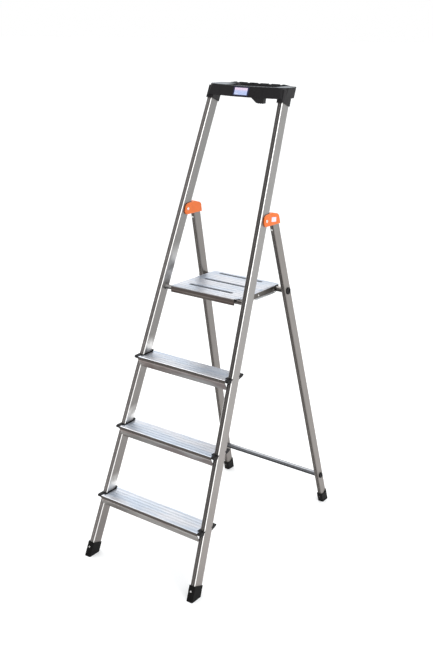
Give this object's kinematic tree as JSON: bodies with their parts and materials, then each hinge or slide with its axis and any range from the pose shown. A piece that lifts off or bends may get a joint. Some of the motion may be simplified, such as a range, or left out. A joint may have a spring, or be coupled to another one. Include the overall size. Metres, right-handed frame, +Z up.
{
  "type": "platform stepladder",
  "caption": "Folding aluminium platform stepladder with treads, a standing platform, orange hinge caps and a guard hoop topped by a tool tray.",
  "frame": {"origin": "on the floor, at the centre of the footprint of the opened ladder", "axes": "+Z up, -Y the climbing side, +X the climber's right when facing the ladder"},
  "size_m": [0.4376, 0.816, 1.4644],
  "materials": {
    "rail_aluminium": "mill-finish extrusion, fluted front face, satin",
    "tread_aluminium": "ribbed extrusion, satin",
    "side_aluminium": "bent sheet, satin",
    "tube_aluminium": "drawn tube, satin",
    "black_plastic": "moulded, fine grain",
    "tray_plastic": "moulded, fine grain with polished edges",
    "foot_plastic": "tough moulded plastic with a matt sole",
    "orange_plastic": "moulded, soft sheen",
    "grip_rubber": "dark strip set in the deck",
    "blank_label": "blank printed film",
    "panel_label": "blank printed film",
    "fastener_steel": "zinc-plated",
    "bush_nylon": "natural nylon"
  },
  "bodies": {
    "front_frame": {"front_axle": "tube_aluminium", "tool_tray": "tray_plastic", "tray_label": "panel_label", "front_foot_rivets": "fastener_steel", "tread_1": "tread_aluminium", "tread_2": "tread_aluminium", "tread_3": "tread_aluminium", "front_rail_left": "rail_aluminium", "front_rail_right": "rail_aluminium", "front_foot_left": "foot_plastic", "front_foot_right": "foot_plastic", "hinge_bush_left": "bush_nylon", "hinge_bush_right": "bush_nylon", "axle_collar_left": "tube_aluminium", "axle_collar_right": "tube_aluminium", "tread_cap_1_left": "black_plastic", "tread_cap_1_right": "black_plastic", "tread_cap_2_left": "black_plastic", "tread_cap_2_right": "black_plastic", "tread_cap_3_left": "black_plastic", "tread_cap_3_right": "black_plastic"},
    "rear_frame": {"rear_axle": "tube_aluminium", "rear_brace": "tube_aluminium", "cap_label": "blank_label", "rear_foot_rivets": "fastener_steel", "hinge_cap_rivets": "fastener_steel", "rear_leg_left": "rail_aluminium", "rear_leg_right": "rail_aluminium", "rear_foot_left": "foot_plastic", "rear_foot_right": "foot_plastic", "hinge_cap_left": "orange_plastic", "hinge_cap_right": "orange_plastic", "hinge_pin_left": "fastener_steel", "hinge_pin_right": "fastener_steel", "rear_axle_plug_left": "black_plastic", "rear_axle_plug_right": "black_plastic", "brace_plug_left": "black_plastic", "brace_plug_right": "black_plastic"},
    "platform": {"platform_deck": "tread_aluminium", "platform_grip_1": "grip_rubber", "platform_grip_2": "grip_rubber", "platform_grip_3": "grip_rubber", "platform_side_left": "side_aluminium", "platform_side_right": "side_aluminium", "pivot_block_left": "black_plastic", "pivot_block_right": "black_plastic", "front_catch_left": "black_plastic", "front_catch_right": "black_plastic", "side_rivets_left": "fastener_steel", "side_rivets_right": "fastener_steel"}
  },
  "joints": [
    {"name": "leg_fold", "type": "hinge", "parent": "front_frame", "child": "rear_frame", "pos_m": [0, 0.0215, 1.0797], "axis": [-1, 0, 0], "range_deg": [0, 36.5]},
    {"name": "platform_fold", "type": "hinge", "parent": "rear_frame", "child": "platform", "pos_m": [0, 0.14682, 0.836], "axis": [-1, 0, 0], "range_deg": [0, 74.5]}
  ],
  "couplings": [
    {"joint": "platform_fold", "follows": "leg_fold", "ratio": 2.018}
  ]
}
